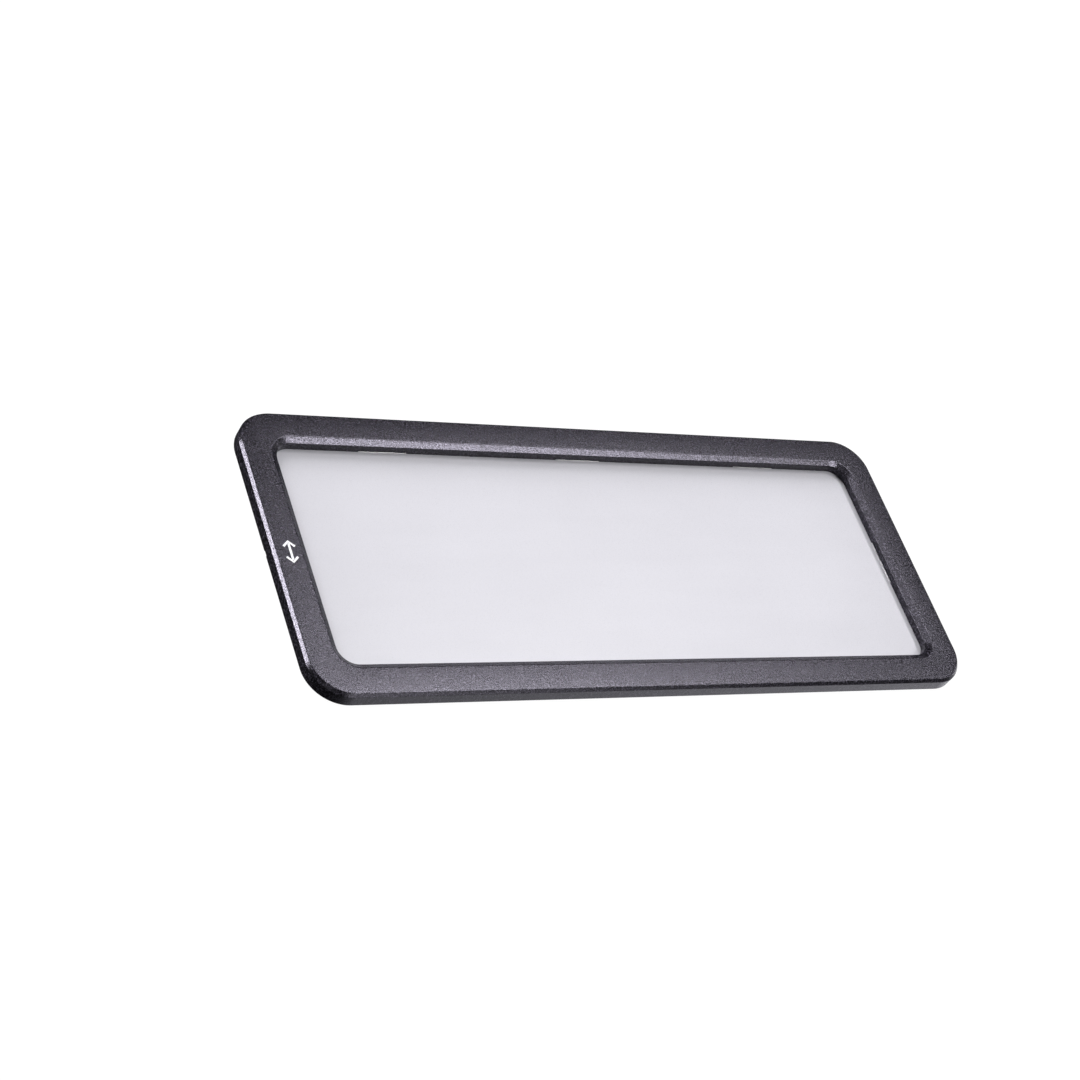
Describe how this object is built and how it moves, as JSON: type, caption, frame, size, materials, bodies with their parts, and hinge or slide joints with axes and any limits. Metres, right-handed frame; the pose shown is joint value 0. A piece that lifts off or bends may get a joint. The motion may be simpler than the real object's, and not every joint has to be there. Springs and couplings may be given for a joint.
{
  "type": "spread lens frame",
  "caption": "Flat rectangular plastic frame with a bevelled window that holds a frosted light-spreading lens sheet, for sliding into the accessory slot of a wide lamp.",
  "frame": {"origin": "centre of the rear rim's plane, on which the frame lies with its front face up", "axes": "+X along the frame's long side, +Y across its width, +Z out of the front face"},
  "size_m": [0.3, 0.125, 0.0064],
  "materials": {
    "bezel": "charcoal moulded plastic with a fine sparkling grain, satin on its edges",
    "lens": "frosted translucent white",
    "rear_frame": "thin black satin coating on pressed sheet",
    "spring": "bright rolled spring steel",
    "screw": "zinc plated",
    "mark_ink": "thin off-white printed ink"
  },
  "bodies": {
    "root": {"front_bezel": "bezel", "lens_sheet": "lens", "rear_frame": "rear_frame", "lens_spring_1": "spring", "lens_spring_2": "spring", "lens_spring_3": "spring", "lens_spring_4": "spring", "lens_spring_5": "spring", "lens_spring_6": "spring", "lens_spring_7": "spring", "lens_spring_8": "spring", "frame_screw_01": "screw", "frame_screw_02": "screw", "frame_screw_03": "screw", "frame_screw_04": "screw", "frame_screw_05": "screw", "frame_screw_06": "screw", "frame_screw_07": "screw", "frame_screw_08": "screw", "frame_screw_09": "screw", "frame_screw_10": "screw", "frame_screw_11": "screw", "frame_screw_12": "screw"}
  },
  "joints": []
}
